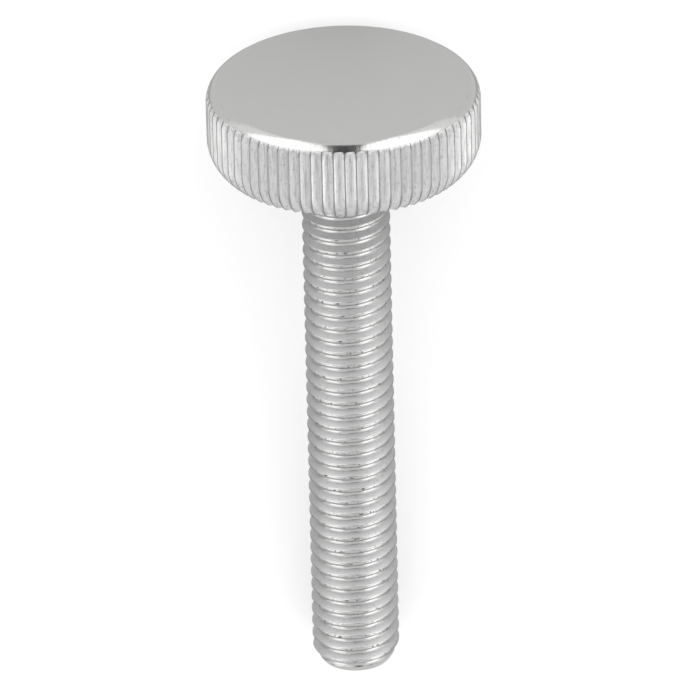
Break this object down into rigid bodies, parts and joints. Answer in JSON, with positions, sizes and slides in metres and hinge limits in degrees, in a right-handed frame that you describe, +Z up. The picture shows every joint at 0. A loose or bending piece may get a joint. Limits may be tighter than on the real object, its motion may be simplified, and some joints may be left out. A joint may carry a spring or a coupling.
{
  "type": "knurled thumb screw",
  "caption": "Long fully threaded thumb screw with a flat round head, knurled round its rim for the fingers, lying on its side.",
  "frame": {"origin": "on the surface the screw lies on, under the middle of its length", "axes": "+X towards the threaded end, +Z up; the screw's own axis lies in the XZ plane and dips about 9 degrees towards +X, because the head is wider than the shank"},
  "size_m": [0.0589, 0.024, 0.0243],
  "materials": {
    "zinc_plate": "bright zinc plate over steel"
  },
  "bodies": {
    "root": {"thumb_screw": "zinc_plate"}
  },
  "joints": []
}
